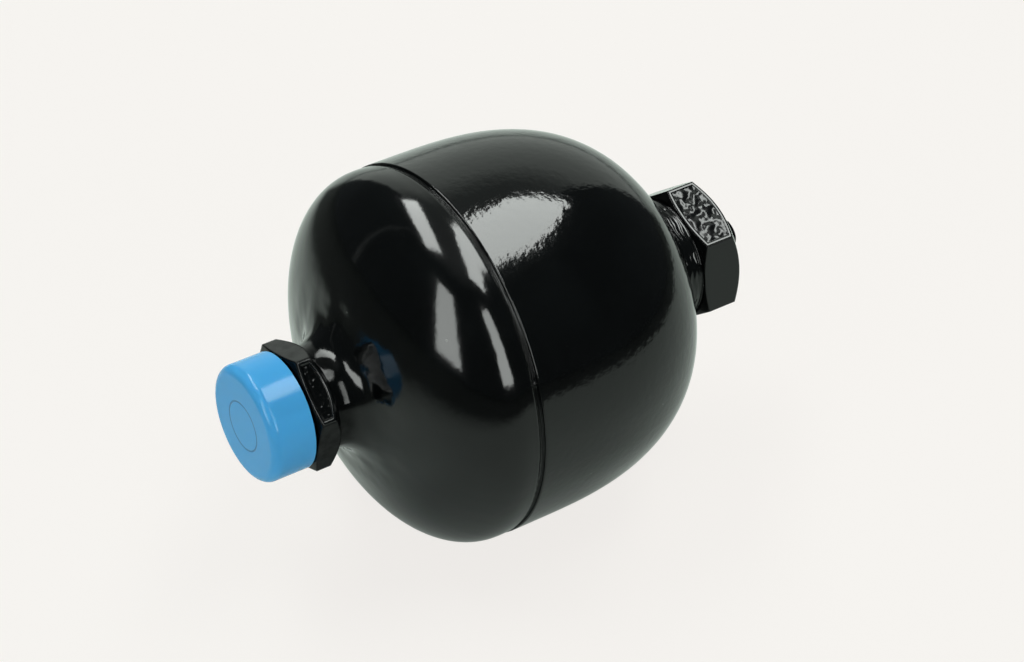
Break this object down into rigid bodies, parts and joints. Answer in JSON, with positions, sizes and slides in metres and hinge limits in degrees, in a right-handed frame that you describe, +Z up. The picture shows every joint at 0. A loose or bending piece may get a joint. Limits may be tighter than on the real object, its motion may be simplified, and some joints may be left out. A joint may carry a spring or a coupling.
{
  "type": "diaphragm accumulator",
  "caption": "Welded steel diaphragm accumulator, 0.75 litre, with a hexagonal G 1/2 fluid port under a blue push-on cap and a hexagonal gas end.",
  "frame": {"origin": "on the vessel's axis, in the middle of the straight seat for the clamp band", "axes": "+X along the vessel's axis towards the gas end, +Z up with the vessel held level by a clamp band"},
  "size_m": [0.1823, 0.121, 0.121],
  "materials": {
    "black_paint": "glossy black paint with light orange peel",
    "weld_bead": "painted over, finely rippled",
    "dark_steel": "blackened",
    "bare_steel": "machined",
    "rubber": "moulded",
    "blue_plastic": "glossy moulded"
  },
  "bodies": {
    "vessel": {"gas_shell": "black_paint", "fluid_shell": "black_paint", "girth_weld": "weld_bead", "boss_weld": "weld_bead", "gas_boss": "black_paint", "charging_screw": "dark_steel", "screw_seal": "rubber", "diaphragm": "rubber", "diaphragm_button": "bare_steel", "clamp_ring": "bare_steel"},
    "cap": {"protective_cap": "blue_plastic"}
  },
  "joints": [
    {"name": "cap_pull", "type": "slide", "parent": "vessel", "child": "cap", "axis": [-1, 0, 0], "range_m": [0, 0.04]}
  ]
}
